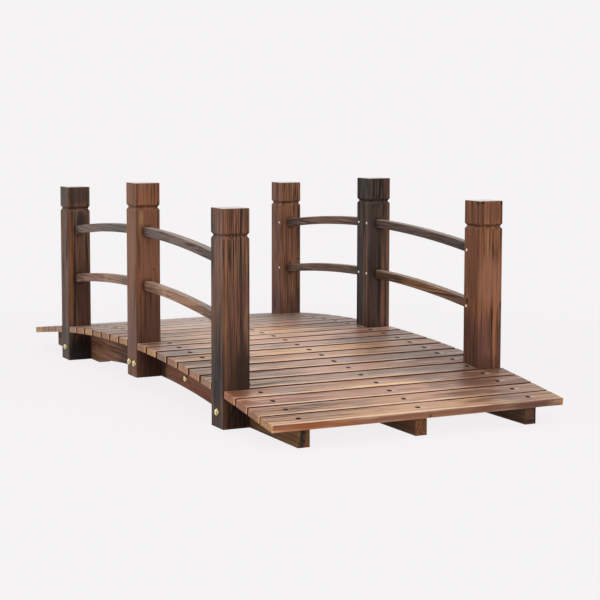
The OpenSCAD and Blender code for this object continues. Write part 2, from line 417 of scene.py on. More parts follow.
@dataclass
class BurntFir:
    """Turns a timber and a board into the board's material."""

    timber: Timber
    board: Board

    def __post_init__(self) -> None:
        """Lays the board's own coordinates into a new material."""
        self.maker = MaterialMaker(f"fir_{self.board.name}")
        self.spot = self.maker.spot(self.board.lie)

    def noise(self, across: float, along: float, layer: Layer, detail: float = 2.0) -> Value:
        """Noise drawn out along the grain, different for every layer and board."""
        seed = self.board.seed * BOARD_STEP + layer * LAYER_STEP
        return self.maker.noise(self.spot.vector, (across, across, along), seed, detail)

    def swing(self, across: float, along: float, layer: Layer, weight: float, detail: float = 2.0) -> Value:
        """Noise that swings to both sides of 0 by up to half its weight."""
        return (self.noise(across, along, layer, detail) - 0.5) * weight

    def knot_distance(self, knot: Knot) -> Value:
        """Distance from a knot's heart, drawn out along the grain.

        Args:
            knot: The knot.

        Returns:
            The distance in knot radii.
        """
        offset = (getattr(self.spot, knot.heart.value) - knot.offset) / knot.radius
        along = (self.spot.along - knot.along) / (knot.radius * KNOT_LENGTH)
        return (offset ** 2 + along ** 2).root()

    def rings(self) -> tuple[Value, Value]:
        """The yearly rings.

        Returns:
            How deep in the dark late wood a point is, and a fixed chance for its ring.
        """
        spot, board = self.spot, self.board
        wander = reduce(Value.__add__, (self.swing(*row) for row in WANDER))
        for knot in board.knots:
            wander = wander + 9.0 / (1.0 + self.knot_distance(knot) ** 2 * 0.55)
        across = spot.across - board.pith[0]
        through = spot.through - board.pith[1]
        radius = (across * across + through * through).root() + wander + spot.along * board.taper
        count = radius / self.timber.ring_width + (self.maker.drift(radius / 13, board.seed) - 0.5) * 1.6
        part = count.fraction()
        late = part.rise(0.35, 0.88) * (1 - part.rise(0.90, 1.0))
        return late, self.maker.chance(count.whole(), board.seed)

    def squarely(self, axis: Triple) -> Value:
        """1 on the faces that look along one of the board's own axes, and 0 on the others."""
        return abs(self.maker.facing(self.board.lie.turn.transposed() @ Vector(axis))).rise(0.75, 0.9)

    def near_edge(self, reach: float) -> Value:
        """Mask of the board's long edges: worn paler on most boards, painted shade of the gaps on the planks.

        Args:
            reach: How far in it goes.

        Returns:
            1 on the edges, falling to 0 within the reach.
        """
        across = self.board.half[0] - abs(self.spot.across)
        through = self.board.half[1] - abs(self.spot.through)
        ragged = (self.noise(3, 60, Layer.EDGE) - 0.5) * reach * 1.6
        return 1 - (across.most(through) + ragged).rise(reach * 0.15, reach)

    def far_edge(self) -> Value:
        """Mask of painted gap shade: 1 on the long edge that looks away from the near end, falling to 0 a few
        millimetres in.
        """
        ragged = self.swing(4, 50, Layer.FAR_EDGE, 2)
        return 1 - (self.spot.across + self.board.half[0] + ragged).rise(1.0, 3.2)

    def marked(self, colour: Socket) -> Socket:
        """Lays the board's own marks over a colour.

        Args:
            colour: The colour without them.

        Returns:
            The colour with them.
        """
        ragged = self.swing(7, 60, Layer.MARKS, 1.1, detail=4)
        for mark in self.board.marks:
            away = self.maker.distance(self.spot.vector, mark.middle, mark.reach)
            depth = 1 - (away + ragged).rise(0.45, 1.15)
            colour = self.maker.mix(depth * mark.strength, colour, mark.colour)
        return colour

    def screw_ring(self, across: float, along: float) -> Value:
        """Dark ring round a deck screw: painted shade of its countersink, with a dark stain."""
        aside = (self.spot.across - across) / self.board.stain_width
        return 1 - (aside ** 2 + (self.spot.along - along) ** 2).root().rise(4.8, 6.6)

    def cut_ends(self, colour: Socket, late: Value) -> Socket:
        """Lays end grain over the sawn ends, with rings, dark blots and a pale line along their edges, and painted
        gap shade along a plank's far edge.

        Args:
            colour: The colour of the other faces.
            late: How deep in late wood a point is.

        Returns:
            The colour of all faces.
        """
        maker, board, timber = self.maker, self.board, self.timber
        edge_line = 1 - (board.half[2] - abs(self.spot.along)).rise(0.6, 2.6)
        colour = maker.mix(edge_line * 0.45, colour, timber.early)
        streak = self.noise(3.4, 30, Layer.SAWN).rise(0.46, 0.54)
        cut = maker.mix(late * 0.55 + streak * 0.45, board.end, toned(board.end, 0.28, 0.14))
        if board.flank is not None:
            # Painted shade of the gap between planks, along the end's far edge.
            rim = 1 - (self.spot.across + board.half[0]).rise(0.5, 2.4)
            cut = maker.mix(rim * 0.85, cut, timber.edge)
        blot = self.noise(8, 8, Layer.BLOTS, detail=3).rise(0.53, 0.60)
        blots = 0.5 if board.flank is None else 0.75
        return maker.mix(self.squarely((0, 0, 1)), colour, maker.mix(blot * blots, cut, timber.late))

    def grain(self) -> tuple[Socket, Value, Value, Value]:
        """The wood before its marks.

        Returns:
            Its colour, how far a point is in late wood, the fine fibre, and how dark the grain is.
        """
        timber, maker = self.timber, self.maker
        late, chance = self.rings()
        fibre = self.noise(0.7, 26, Layer.FIBRE)
        dark = 0.36 + timber.burn + late * (0.3 + chance * 0.7) * timber.ring_contrast
        for across, along, layer, weight in GRAIN:
            weight *= timber.spread * (timber.fine if across < FINE_GRAIN else 1.0)
            dark = dark + self.swing(across, along, layer, weight, detail=2.5)
        red = self.noise(11, 210, Layer.RED).rise(0.46, 0.62)
        colour = maker.mix(dark.rise(-0.1, 0.42), timber.early, timber.warm)
        colour = maker.mix(dark.rise(0.34, 0.72), colour, timber.late)
        colour = maker.mix(dark.rise(0.68, 1.02), colour, timber.char)
        colour = maker.mix(red * (1 - dark.rise(0.3, 0.7)) * 0.5, colour, timber.edge)
        hue = maker.mix(self.noise(13, 50, Layer.HUE, detail=3).rise(0.38, 0.62), GREENISH, REDDISH)
        return maker.mix(timber.tinge, colour, hue, "MULTIPLY"), late, fibre, dark

    def material(self) -> Material:
        """Lays the board's grain, edges, ends, marks and fixings' stains over each other.

        Returns:
            The finished material.
        """
        timber, maker, board = self.timber, self.maker, self.board
        colour, late, fibre, dark = self.grain()
        rough = timber.rough - 0.05 + fibre * 0.1 + dark.rise(0.3, 0.9) * 0.25
        # On the planks the edge colour is painted shade of the gaps between them; on the other boards it is worn
        # paler wood.
        edge_line = self.near_edge(timber.edge_reach) * timber.edge_wear
        colour = maker.mix(edge_line, colour, timber.edge)
        if board.end is not None:
            colour = self.cut_ends(colour, late)
        colour = self.marked(colour)
        if board.flank is not None:
            # Painted shade of the gaps between planks, on the plank's sides, along its far top edge and on its long
            # edges.
            gap_shade_mask = (self.squarely((1, 0, 0)) * 0.9).most(self.far_edge()).most(edge_line)
            colour = maker.mix(gap_shade_mask, colour, board.flank)
            rough = rough.most(gap_shade_mask)
        if board.crest is not None:
            # Painted sheen on the faces that look up.
            colour = maker.mix(maker.facing((0, 0, 1)).rise(0.5, 0.9) * 0.55, colour, board.crest)
        for knot in board.knots:
            away = self.knot_distance(knot)
            colour = maker.mix((1 - away.rise(1.2, 2.0)) * 0.5, colour, timber.early)
            colour = maker.mix((1 - away.rise(0.75, 1.1)) * knot.depth, colour, timber.char)
        if board.screws:
            rings = reduce(Value.most, (self.screw_ring(*screw) for screw in board.screws))
            # Painted shade of each screw's countersink, with a dark stain round it.
            colour = maker.mix(rings * 0.95, colour, tint(*SOOT_AND_SHADE))
            rough = rough.most(rings)
        if board.grooves:
            # Painted shade on the groove's upper flank.
            line = reduce(Value.most, (1 - abs(self.spot.along - along).rise(0.6, 3.4) for along in board.grooves))
            colour = maker.mix(line * 0.7, colour, toned(timber.late, 0.6, 0.15))
        colour = maker.mix(1.0, colour, maker.grey(0.82 + fibre * 0.36), "MULTIPLY")
        relief = (1 - dark.rise(0.3, 0.9) * 0.6) * 0.6 + fibre * 0.3
        inputs = {"Roughness": rough, "IOR": timber.ior}
        if board.sealed:
            inputs |= {"Coat Weight": self.squarely((0, 0, 1)), "Coat Roughness": 0.1}
        return maker.surface(colour, inputs, relief, WOOD_RELIEF)


def dress(timber: Timber, board: Board) -> None:
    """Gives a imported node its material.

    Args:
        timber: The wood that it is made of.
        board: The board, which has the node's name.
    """
    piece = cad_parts[board.name]
    piece.data.materials.clear()
    piece.data.materials.append(BurntFir(timber, board).material())
    log.info("%s dressed", board.name)


def middle_of(node: str) -> tuple[Vector, Vector]:
    """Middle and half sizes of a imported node's box, in metres."""
    low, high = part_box(node)
    return (low + high) / 2, (high - low) / 2


def lengthwise(node: str) -> tuple[Lie, Triple]:
    """Lie and half sizes in millimetres of a board whose grain runs along the span."""
    middle, half = middle_of(node)
    return Lie(middle, Euler((0, -math.pi / 2, 0)).to_matrix()), (half.z / MM, half.y / MM, half.x / MM)


def pith(start: Pair, step: Pair, number: int) -> Pair:
    """Place of the pith beside the numbered board of a kind, so that each board shows other rings."""
    return start[0] + step[0] * number, start[1] + step[1] * number


def nodes_with(*starts: str) -> list[str]:
    """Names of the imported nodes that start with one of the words, in order."""
    return sorted(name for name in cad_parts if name.startswith(starts))


class Face(Enum):
    """A side of a post that the picture shows."""

    LEFT = "left"
    NEAR = "near"


@dataclass(frozen=True)
class Patch:
    """A mark on a post's face: its span from the face's left edge and its drop from the post's top."""

    face: Face
    span: Pair
    drop: Pair
    colour: Colour
    strength: float = 0.7
    deep: float = 14.0

    @classmethod
    def row(cls, face: Face, start: float, end: float, top: float, foot: float, screen: Screen,
            *others: float) -> "Patch":
        """A patch from a table's row: where it starts and ends, its screen colour, and its other fields."""
        return cls(face, (start, end), (top, foot), tint(*screen), *others)

    def mark(self, half: Triple) -> Mark:
        """The same mark in the post's own millimetres.

        Args:
            half: Half sizes of the post.

        Returns:
            The mark.
        """
        side, along = sum(self.span) / 2 - half[0], half[2] - sum(self.drop) / 2
        wide, tall = (abs(end - start) / 2 for start, end in (self.span, self.drop))
        if self.face is Face.LEFT:
            return Mark((side, -half[1], along), (wide, self.deep, tall), self.colour, self.strength)
        return Mark((half[0], side, along), (self.deep, wide, tall), self.colour, self.strength)


@dataclass(frozen=True)
class PostLook:
    """What tells one post from the others."""

    tone: Screen
    patches: tuple[Patch, ...]
    knots: tuple[Knot, ...] = ()
    pith: Pair = (60, 80)
    spread: float = 1.0


left, near = partial(Patch.row, Face.LEFT), partial(Patch.row, Face.NEAR)

# Each patch's start and end from the left, start and end from the top, screen colour, strength and depth.
# Dark patches at a post's foot, below the deck, are painted shade under the deck as well as soot.
POST_LOOKS = {
    "post_far_left": PostLook((92, 68, 57), (
        left(26, 40, 60, 300, (118, 88, 80)), left(-10, 70, -10, 50, (70, 66, 56), 0.8),
        left(-10, 70, 350, 470, (74, 66, 62)), near(2, 13, 40, 420, (136, 84, 50), 0.8, 6),
        near(-8, 70, -10, 50, (58, 42, 36), 0.75), near(22, 56, 125, 380, (72, 46, 35), 0.6),
        near(20, 52, 58, 125, (46, 38, 37), 0.85), near(20, 70, 190, 400, (72, 47, 36)),
        near(15.5, 20, 50, 470, (22, 17, 18), 0.95, 5), near(-12, 80, 374, 490, SOOT_AND_SHADE, 0.93),
    ), pith=(70, 90), spread=0.85),
    "post_mid_left": PostLook((112, 76, 57), (
        left(-10, 70, -10, 240, (134, 95, 72)), left(-10, 70, 230, 470, (116, 88, 78)),
        left(20, 45, 40, 250, (140, 99, 74)), near(-8, 70, 48, 95, (108, 72, 54), 0.5),
        near(-8, 70, 110, 260, (136, 92, 70), 0.7), near(8, 20, 62, 100, (160, 120, 86)),
        near(4, 12, 100, 210, (80, 58, 36)), near(14, 72, 235, 420, (88, 62, 51), 0.75),
        near(-5, 75, 380, 480, SOOT_AND_SHADE, 0.72), near(-4, 24, 372, 455, (92, 60, 50), 0.7),
    ), (Knot(15, 26, 4.0, Heart.ACROSS, 0.35),), (-55, 85), 0.7),
    "post_near_left": PostLook((100, 71, 56), (
        left(-12, 22, -10, 165, (52, 48, 42), 0.8), left(-6, 8, -10, 60, (40, 42, 34), 0.8),
        left(46, 58, -10, 170, (142, 112, 98), 0.65), left(6, 26, 112, 215, (114, 80, 74), 0.7),
        left(24, 36, -10, 170, (126, 98, 86), 0.5), left(-10, 70, 180, 480, (50, 38, 31)),
        left(-10, 60, 270, 420, (38, 31, 28), 0.75), left(4, 48, 345, 402, (32, 27, 26), 0.75),
        left(-10, 75, 408, 480, (66, 44, 38), 0.9), left(40, 44, 60, 380, (52, 42, 42), 0.75, 6),
        near(37.5, 44.5, -20, 470, (34, 25, 24), 0.92, 6), near(46, 57, 160, 400, (146, 104, 80), 0.5, 6),
        near(2, 11, 60, 400, (146, 100, 70), 0.65), near(-10, 75, 120, 240, (84, 58, 44), 0.4),
        near(-10, 75, 230, 420, (70, 47, 36), 0.65), near(20, 75, 265, 420, (48, 34, 28), 0.85),
        near(-5, 75, 385, 480, (39, 30, 26), 0.75),
    ), pith=(20, -95), spread=0.9),
    "post_far_right": PostLook((116, 81, 64), (
        near(0, 60, 50, 300, (136, 92, 70), 0.5), left(-10, 75, 270, 400, (90, 64, 56)),
        left(14, 30, 318, 356, (66, 42, 46), 0.8), left(-10, 20, 60, 130, (96, 70, 66)),
        near(7, 13, 235, 375, (134, 92, 80)), near(18, 75, 290, 420, (70, 48, 40)),
    ), (Knot(22, 14, 4.0, Heart.ACROSS, 0.7), Knot(18, 14, 3.0, depth=0.5)), (80, -60), 1.1),
    "post_mid_right": PostLook((62, 51, 46), (
        near(-5, 62, 60, 210, (98, 74, 62), 0.5), left(-10, 70, -10, 46, (48, 46, 38), 0.8),
        left(-10, 36, 40, 400, (44, 41, 40), 0.7), left(33, 45, 120, 420, (110, 85, 72)),
        left(47, 55, 60, 430, (140, 94, 70), 0.85, 8), near(-5, 34, 40, 400, (54, 44, 40), 0.6),
        near(-5, 56, 200, 400, (96, 71, 61), 0.55), near(26, 35, 100, 420, (27, 23, 25), 0.8, 6),
        near(35, 47, 130, 430, (134, 92, 76), 0.85, 6), near(50, 60, 30, 430, (136, 92, 72), 0.88, 6),
        near(44, 60, -10, 45, (88, 56, 46)),
    ), pith=(-90, 30), spread=1.3),
    "post_near_right": PostLook((120, 80, 59), (
        left(-10, 70, -10, 240, (106, 68, 48), 0.6), near(-10, 70, 110, 250, (152, 105, 80), 0.65),
        near(-10, 70, -10, 48, (106, 70, 52), 0.5), left(-10, 75, 235, 420, (84, 57, 48), 0.75),
        left(20, 55, 70, 200, (122, 78, 56)), left(44, 62, -10, 12, (38, 26, 24), 0.8, 8),
        near(-6, 38, 240, 420, (105, 71, 62), 0.75), near(48, 64, 250, 400, (92, 62, 50), 0.7),
        near(-6, 70, 338, 385, (82, 52, 38), 0.6), near(37, 44, 110, 400, (166, 108, 72), 0.6, 6),
        near(4, 15, -4, 8, (36, 28, 28), 0.9, 10), near(53, 60, -2, 12, (40, 32, 30), 0.9, 8),
        near(56.5, 61, 221, 242, (30, 22, 24), 0.95, 6),
    ), (Knot(-16, 2, 6.0),), (95, 60), 0.7),
}


@dataclass
class Posts:
    """The six square posts."""

    looks: dict[str, PostLook] = field(default_factory=lambda: POST_LOOKS)
    top: Colour = tint(126, 94, 76)
    # Drop from the top to the middle of the painted shade on the groove's upper flank.
    soot_drop: float = 53.7
    mortises: Pair = (110.7, 236.0)
    shade_span: Pair = (11, 46)
    shade_reach: Pair = (-19, 20)
    first_seed: float = 1.0

    def shades(self, name: str, tone: Colour) -> tuple[Patch, ...]:
        """Painted shade round the mortises that a post's rails towards the near end come out of.

        Args:
            name: The post's name.
            tone: The post's colour.

        Returns:
            The patches of painted shade, none on the posts at the near end.
        """
        if name.startswith("post_near"):
            return ()
        return tuple(Patch(Face.NEAR, self.shade_span, tuple(drop + reach for reach in self.shade_reach),
                           toned(tone, 0.3), 0.75, 6) for drop in self.mortises)

    def dress(self) -> None:
        """Gives every post its own board."""
        for number, (name, look) in enumerate(self.looks.items()):
            middle, half = middle_of(name)
            sizes, tone = tuple(half / MM), tint(*look.tone)
            marks = tuple(patch.mark(sizes) for patch in look.patches + self.shades(name, tone))
            board = Board(name, Lie(middle, Matrix.Identity(3)), sizes, look.pith, self.first_seed + number,
                          marks=marks, knots=look.knots, grooves=(sizes[2] - self.soot_drop,), end=self.top,
                          sealed=True)
            timber = Timber.of_tone(tone, spread=look.spread, fine=1.35, tinge=0.6, ior=1.24)
            dress(timber, board)


@dataclass(frozen=True)
class RailLook:
    """A rail's tone, and its other stretches as middle and reach along the rail, and colour."""

    tone: Screen
    stretches: tuple[tuple[float, float, Screen], ...]


# The dark stretches at a rail's ends, beside the posts, are painted shade as well as stain.
RAIL_LOOKS = {
    "upper_rail_far_left": RailLook((99, 86, 80), ((60, 130, (90, 86, 84)), (-60, 90, (118, 100, 88)))),
    "upper_rail_near_left": RailLook((94, 79, 73), (
        (-10, 60, (106, 94, 82)), (170, 80, (90, 74, 68)), (-170, 60, (94, 88, 94)))),
    "lower_rail_far_left": RailLook((128, 98, 84), (
        (170, 70, (88, 78, 70)), (15, 22, (170, 142, 108)), (-70, 80, (146, 104, 92)))),
    "lower_rail_near_left": RailLook((142, 108, 88), (
        (-95, 18, (184, 152, 116)), (20, 90, (156, 114, 84)), (-176, 56, (112, 82, 70)), (176, 84, (72, 58, 52)))),
    "upper_rail_far_right": RailLook((101, 77, 66), (
        (-190, 60, (66, 56, 52)), (10, 70, (112, 82, 68)), (180, 50, (70, 56, 48)))),
    "upper_rail_near_right": RailLook((88, 71, 67), (
        (-60, 90, (88, 74, 67)), (110, 90, (78, 64, 60)), (196, 60, (58, 52, 47)))),
    "lower_rail_far_right": RailLook((98, 75, 62), ((180, 60, (64, 54, 48)), (-20, 60, (112, 84, 72)))),
    "lower_rail_near_right": RailLook((126, 94, 71), (
        (-195, 62, (56, 42, 34)), (-50, 60, (142, 102, 70)), (166, 84, (88, 58, 50)))),
}


@dataclass
class Rails:
    """The eight curved rails."""

    looks: dict[str, RailLook] = field(default_factory=lambda: RAIL_LOOKS)
    # Painted sheen on the rails' upward faces.
    crest: Colour = tint(178, 160, 146)
    section: Pair = (40, 24)
    # Inset and reach of the painted shade where a rail meets the farther post.
    far_end: Pair = (14, 30)
    strength: float = 0.65
    pith: tuple[Pair, Pair] = ((40, 60), (9, -13))
    first_seed: float = 11.0

    def marks(self, look: RailLook, half: float) -> Iterator[Mark]:
        """A rail's stretches, and painted shade at the end away from the near end, where it meets a post.

        Args:
            look: What tells the rail from the others.
            half: Half its length.

        Returns:
            The marks.
        """
        wide, deep = self.section
        for along, reach, screen in look.stretches:
            yield stain_and_light(0, along, wide, reach, screen, self.strength, 0, deep)
        inset, reach = self.far_end
        # Painted shade where the rail meets the farther post.
        yield Mark((0, 0, inset - half), (wide, deep, reach), toned(tint(*look.tone), 0.55), self.strength)

    def dress(self) -> None:
        """Gives every rail its own board."""
        for number, (name, look) in enumerate(self.looks.items()):
            lie, half = lengthwise(name)
            board = Board(name, lie, half, pith(*self.pith, number), self.first_seed + number,
                          marks=tuple(self.marks(look, half[2])), crest=self.crest)
            dress(Timber.of_tone(tint(*look.tone), fine=1.2, tinge=0.45), board)


# Rows of stains and painted shade, by the beam's name; the dark row at -332 on beam_left_near is painted shade
# beside the middle left post.
BEAM_MARKS = {
    "beam_left_near": (
        (0, -120, 60, 190, (134, 78, 62), 0.6, -13, 8), (0, -332, 60, 30, (44, 30, 22), 0.9, -13, 8),
        (0, 310, 60, 150, (122, 86, 50), 0.75, -13, 8), (20, 350, 7, 50, (120, 90, 58), 0.7, -13, 8),
        (30, 375, 60, 6, (40, 29, 16), 0.9, -4, 3.5), (30, 375, 26, 6, (116, 80, 42), 0.7, 8, 6),
        (44, 375, 6, 6, (130, 66, 44), 0.7, 6, 9),
    ),
    "beam_center_near": (
        (0, 330, 60, 90, (112, 76, 46), 0.7, -13, 8),
    ),
    "beam_right_near": (
        (0, 330, 60, 90, (86, 66, 44), 0.7, -13, 8), (30, 375, 60, 5, (36, 26, 24), 0.9, 12, 3),
        (42, 375, 4, 5, (32, 24, 22), 0.9, 0, 16),
    ),
    "beam_left_far": (
        (26, -40, 9, 34, (138, 112, 64), 0.7, -13, 8), (6, 24, 7, 34, (126, 98, 58), 0.7, -13, 8),
        (0, 210, 60, 110, (84, 60, 50), 0.7, -13, 8), (0, -372, 60, 14, (44, 42, 44), 0.85, -13, 8),
    ),
}


@dataclass
class Beams:
    """The arched beams and the boards that splice them."""

    tone: Colour = tint(94, 68, 54)
    tones: dict[str, Colour] = field(default_factory=lambda: {
        "beam_left_far": tint(118, 86, 68), "beam_left_near": tint(104, 76, 58)})
    ends: dict[str, Colour] = field(default_factory=lambda: {
        "beam_left_near": tint(66, 50, 38), "beam_center_near": tint(128, 84, 50),
        "beam_right_near": tint(108, 68, 48)})
    marks: dict[str, tuple[Row, ...]] = field(default_factory=lambda: BEAM_MARKS)
    pith: tuple[Pair, Pair] = ((30, 50), (17, -19))
    first_seed: float = 31.0

    def dress(self) -> None:
        """Gives every beam and the splice boards a board."""
        for number, name in enumerate(nodes_with("beam_", "splice")):
            board = Board(name, *lengthwise(name), pith(*self.pith, number), self.first_seed + number,
                          marks=stains_and_light(self.marks.get(name, ())),
                          end=self.ends.get(name, toned(self.tone, 0.8)))
            timber = Timber.of_tone(self.tones.get(name, self.tone), ring_width=5.5, spread=0.7, rough=0.65)
            dress(timber, board)


# Rows of marks, by the plank's number from the near end: stains and burns, with painted sheen, painted highlights
# along near top edges and painted reflections of the dark posts towards the right ends.
DECK_MARKS = {
    0: (
        (29, 0, 5, 380, (122, 72, 50), 0.9, 0, 9), (29, -250, 5, 140, (150, 80, 36), 0.9, 0, 9),
        (29, 20, 5, 90, (150, 98, 66), 0.7, 4, 3), (29, 160, 5, 60, (112, 68, 52), 0.7, 0, 9),
        (29, 258, 5, 66, (94, 50, 38), 0.9, 0, 9), (29, 334, 5, 8, (190, 116, 62), 0.7, 0, 9),
        (29, 14, 5, 4, (56, 26, 20), 0.9, 3, 5), (25, -130, 2.8, 520, (236, 192, 148), 0.9, -8.4, 1.6),
        (29, -120, 4, 420, (176, 104, 52), 0.7, 8, 2.4), (12, -250, 9, 22, (150, 134, 124), 0.5),
        (-16, -225, 7, 40, (128, 112, 104)), (6, -60, 10, 110, (214, 170, 132)), (-12, 40, 8, 80, (196, 150, 116)),
        (-2, 150, 12, 50, (112, 78, 60)), (-10, 215, 10, 40, (104, 84, 76)), (4, 292, 14, 30, (176, 122, 78)),
        (-2, 240, 26, 46, (118, 92, 76), 0.5),
    ),
    1: (
        (0, -332, 20, 16, (140, 84, 48)), (4, -105, 14, 36, (150, 134, 130)), (-2, 150, 18, 52, (104, 80, 68)),
        (8, 235, 14, 46, (98, 70, 54)), (0, 30, 16, 70, (196, 154, 118)), (-8, 190, 12, 50, (126, 92, 72)),
        (-20, -180, 5, 60, (136, 130, 130)),
    ),
    2: (
        (0, -322, 24, 22, (140, 88, 60), 0.85), (6, -40, 12, 120, (184, 150, 130)), (0, 215, 26, 60, (92, 60, 50)),
        (-4, 264, 12, 18, (96, 66, 50)), (12, 130, 9, 46, (146, 132, 126)), (0, 120, 22, 34, (136, 104, 90)),
    ),
    3: (
        (0, -318, 30, 26, (126, 74, 50), 0.85), (-8, 140, 12, 56, (132, 124, 120)),
        (12, 148, 5, 20, (214, 202, 186)), (0, 232, 26, 50, (96, 66, 54)), (-6, 310, 24, 44, (84, 52, 42)),
        (8, -20, 12, 100, (196, 160, 122)), (-14, -120, 8, 80, (154, 146, 138)),
        (0, 150, 26, 44, (126, 106, 96), 0.6), (4, 0, 20, 110, (196, 170, 152), 0.5),
        (0, -210, 22, 50, (160, 148, 142), 0.6), (17, 0, 5, 150, (255, 216, 158), 0.85),
    ),
    4: (
        (-6, 60, 14, 120, (142, 132, 124)), (10, -160, 10, 70, (166, 146, 134)),
        (0, 180, 26, 90, (122, 102, 92), 0.6),
    ),
    5: (
        (0, -200, 18, 50, (140, 134, 132)), (-4, 80, 10, 30, (184, 164, 140)),
        (0, -150, 24, 80, (142, 124, 114), 0.7), (-22, 150, 8, 44, (216, 198, 184), 0.7),
        (-6, 290, 20, 50, (118, 94, 82), 0.6),
    ),
    6: (
        (0, 160, 18, 60, (128, 124, 122)), (-10, 90, 12, 36, (150, 124, 106)),
        (0, 60, 26, 80, (144, 122, 110), 0.5), (-4, 36, 12, 28, (178, 168, 186), 0.65),
        (-10, 104, 11, 40, (152, 138, 142), 0.65),
    ),
    7: (
        (0, 250, 18, 60, (138, 134, 128)), (4, 128, 16, 22, (142, 116, 96)), (0, -300, 28, 44, (122, 104, 92), 0.8),
    ),
    8: (
        (-4, 170, 14, 44, (146, 118, 96)), (6, -80, 14, 80, (182, 150, 130)),
        (0, -10, 28, 120, (212, 180, 152), 0.6), (12, -90, 10, 64, (238, 192, 142), 0.8),
        (-4, 96, 18, 50, (206, 152, 106), 0.75),
    ),
    9: (
        (0, 205, 18, 50, (124, 114, 108)), (4, -200, 14, 90, (140, 136, 128)),
        (0, -300, 28, 56, (106, 98, 90), 0.8), (-14, 150, 16, 64, (116, 116, 122), 0.8),
        (2, -56, 14, 54, (138, 138, 146), 0.7),
    ),
    10: (
        (0, -280, 28, 64, (118, 98, 88), 0.8), (0, 306, 28, 50, (92, 76, 68), 0.85),
        (6, 0, 18, 60, (216, 180, 150)),
    ),
    11: (
        (0, -305, 28, 44, (96, 70, 58), 0.8), (0, 30, 28, 70, (210, 172, 148)),
        (12, 236, 16, 32, (138, 70, 52), 0.75),
    ),
    12: ((0, 30, 28, 60, (220, 178, 148)), (0, 220, 28, 70, (136, 100, 80))),
    13: (
        (8, 40, 16, 60, (220, 164, 110)), (0, 220, 28, 70, (120, 94, 80)), (0, -200, 28, 60, (130, 104, 90)),
        (22, 40, 7, 60, (240, 160, 88), 0.85),
    ),
    14: ((0, 230, 28, 80, (118, 98, 88)),),
    24: (
        (-29, 0, 5, 420, (128, 80, 56), 0.9, 0, 9), (-29, 120, 5, 90, (106, 66, 50), 0.7, 2, 5),
        (-25, 40, 2.8, 520, (226, 186, 148), 0.85, -8.4, 1.6),
    ),
}


